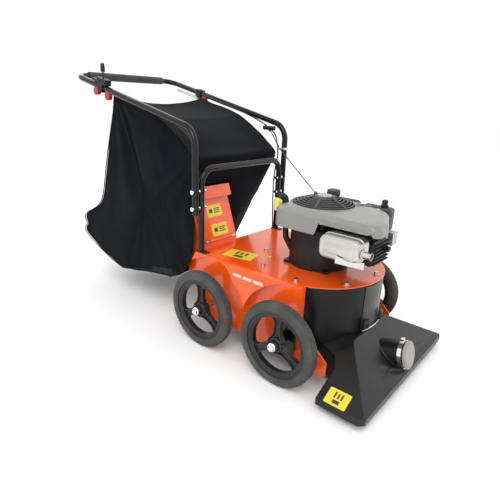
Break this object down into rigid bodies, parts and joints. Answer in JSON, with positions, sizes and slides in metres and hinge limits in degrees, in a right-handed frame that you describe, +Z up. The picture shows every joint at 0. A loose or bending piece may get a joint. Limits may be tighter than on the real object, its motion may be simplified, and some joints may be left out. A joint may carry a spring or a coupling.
{
  "type": "leaf vacuum mulcher",
  "caption": "Walk-behind leaf vacuum with a wide suction nozzle, engine-driven impeller housing, rear discharge chute, cloth collection bag and tubular push handle.",
  "frame": {"origin": "on the ground, at the middle of the machine's overall length and width", "axes": "+Z up; -Y towards the nozzle at the front, +Y towards the handle; -X is the operator's right"},
  "size_m": [0.732, 1.6857, 1.04],
  "materials": {
    "orange_paint": "glossy powder coat",
    "black_paint": "gloss powder coat",
    "nozzle_black": "glossy moulded, lightly scuffed",
    "steel_bright": "zinc plated",
    "chrome": "polished",
    "cast_alloy": "as cast",
    "engine_black": "satin black engine enamel",
    "shroud_grey": "satin silver-grey paint",
    "charcoal_plastic": "fine grained",
    "black_plastic": "fine grained",
    "rim_plastic": "moulded, semi-matt",
    "tyre_rubber": "matt, dusty",
    "rubber": "matt",
    "foam": "closed-cell foam",
    "bag_cloth": "woven nylon",
    "cord": "braided",
    "red_plastic": "glossy",
    "yellow_plastic": "glossy",
    "grey_plastic": "semi-matt"
  },
  "bodies": {
    "chassis": {"rear_axle": "steel_bright", "rear_axle_nuts": "chrome", "body_fasteners": "steel_bright", "deck_body": "orange_paint", "impeller_housing": "black_paint", "housing_cover": "black_paint", "access_plate": "steel_bright", "gearbox": "cast_alloy", "drive_belt": "rubber", "nozzle": "nozzle_black", "port_clamp": "chrome", "discharge_chute": "orange_paint", "door_hinge_pin": "steel_bright", "bag": "bag_cloth", "lower_handle": "black_paint", "upper_handle": "black_paint", "handle_bolts": "chrome", "foam_grip": "foam", "throttle_housing": "black_plastic", "lever_clamp": "black_plastic", "bag_hooks": "red_plastic", "starter_rope": "cord", "rope_guide": "steel_bright", "throttle_cable": "black_plastic", "drive_cable": "black_plastic", "engine_block": "engine_black", "cylinder_head": "engine_black", "spark_plug": "black_plastic", "muffler": "steel_bright", "engine_shroud": "shroud_grey", "recoil_cover": "charcoal_plastic", "fuel_tank": "black_plastic", "air_filter": "charcoal_plastic", "carburettor": "cast_alloy", "oil_filler": "black_plastic"},
    "rotor": {"crankshaft": "steel_bright", "impeller": "steel_bright", "drive_pulley": "steel_bright", "flywheel": "cast_alloy"},
    "gearbox_input": {"gearbox_pulley": "steel_bright"},
    "carrier_right": {"front_bracket_right": "black_paint", "front_axle_nut_right": "chrome"},
    "carrier_left": {"front_bracket_left": "black_paint", "front_axle_nut_left": "chrome"},
    "wheel_front_right": {"tyre_front_right": "tyre_rubber", "rim_front_right": "rim_plastic"},
    "wheel_front_left": {"tyre_front_left": "tyre_rubber", "rim_front_left": "rim_plastic"},
    "wheel_rear_right": {"tyre_rear_right": "tyre_rubber", "rim_rear_right": "rim_plastic"},
    "wheel_rear_left": {"tyre_rear_left": "tyre_rubber", "rim_rear_left": "rim_plastic"},
    "throttle": {"throttle_lever": "black_plastic"},
    "drive_control": {"drive_lever": "steel_bright"},
    "door": {"chute_door": "orange_paint"},
    "starter": {"starter_grip": "black_plastic"},
    "tank_cap": {"fuel_cap": "black_plastic"},
    "oil_stick": {"dipstick": "yellow_plastic"},
    "hose_cap": {"port_cap": "grey_plastic"},
    "filter_screw": {"air_filter_knob": "black_plastic"}
  },
  "joints": [
    {"name": "crank_spin", "type": "hinge", "parent": "chassis", "child": "rotor", "pos_m": [0, -0.435, 0.25], "axis": [0, 0, 1], "continuous": true},
    {"name": "gearbox_input_spin", "type": "hinge", "parent": "chassis", "child": "gearbox_input", "pos_m": [0.1, -0.1095, 0.25], "axis": [0, 0, 1], "continuous": true},
    {"name": "height_right", "type": "slide", "parent": "chassis", "child": "carrier_right", "axis": [0, 0, 1], "range_m": [-0.025, 0.015]},
    {"name": "height_left", "type": "slide", "parent": "chassis", "child": "carrier_left", "axis": [0, 0, 1], "range_m": [-0.025, 0.015]},
    {"name": "wheel_front_right_spin", "type": "hinge", "parent": "carrier_right", "child": "wheel_front_right", "pos_m": [-0.3215, -0.495, 0.152], "axis": [1, 0, 0], "continuous": true},
    {"name": "wheel_front_left_spin", "type": "hinge", "parent": "carrier_left", "child": "wheel_front_left", "pos_m": [0.3215, -0.495, 0.152], "axis": [1, 0, 0], "continuous": true},
    {"name": "wheel_rear_right_spin", "type": "hinge", "parent": "chassis", "child": "wheel_rear_right", "pos_m": [-0.3215, -0.1295, 0.152], "axis": [1, 0, 0], "continuous": true},
    {"name": "wheel_rear_left_spin", "type": "hinge", "parent": "chassis", "child": "wheel_rear_left", "pos_m": [0.3215, -0.1295, 0.152], "axis": [1, 0, 0], "continuous": true},
    {"name": "throttle_swing", "type": "hinge", "parent": "chassis", "child": "throttle", "pos_m": [-0.2745, 0.5191, 0.97003], "axis": [1, 0, 0], "range_deg": [-25, 25]},
    {"name": "drive_squeeze", "type": "hinge", "parent": "chassis", "child": "drive_control", "pos_m": [0.2745, 0.51856, 0.91754], "axis": [1, 0, 0], "range_deg": [-22, 0], "stiffness_Nm_per_rad": 1.5, "springref_deg": 14.32},
    {"name": "door_swing", "type": "hinge", "parent": "chassis", "child": "door", "pos_m": [-0.119, -0.02918, 0.36851], "axis": [1, 0, 0], "range_deg": [0, 75]},
    {"name": "starter_pull", "type": "slide", "parent": "chassis", "child": "starter", "axis": [-0.1356, 0.5312, 0.8363], "range_m": [0, 0.5], "stiffness_N_per_m": 12, "springref_m": -0.25},
    {"name": "fuel_cap_turn", "type": "hinge", "parent": "chassis", "child": "tank_cap", "pos_m": [0.146, -0.391, 0.58], "axis": [0, 0, 1], "range_deg": [0, 90]},
    {"name": "dipstick_draw", "type": "slide", "parent": "chassis", "child": "oil_stick", "axis": [-0.0322, 0.0643, 0.9974], "range_m": [0, 0.12]},
    {"name": "port_cap_draw", "type": "slide", "parent": "chassis", "child": "hose_cap", "axis": [0, -0.9703, 0.2419], "range_m": [0, 0.06]},
    {"name": "filter_screw_turn", "type": "hinge", "parent": "chassis", "child": "filter_screw", "pos_m": [0.142, -0.607, 0.57], "axis": [0, 0, 1], "continuous": true}
  ],
  "couplings": [
    {"joint": "gearbox_input_spin", "follows": "crank_spin", "ratio": 0.7487}
  ]
}
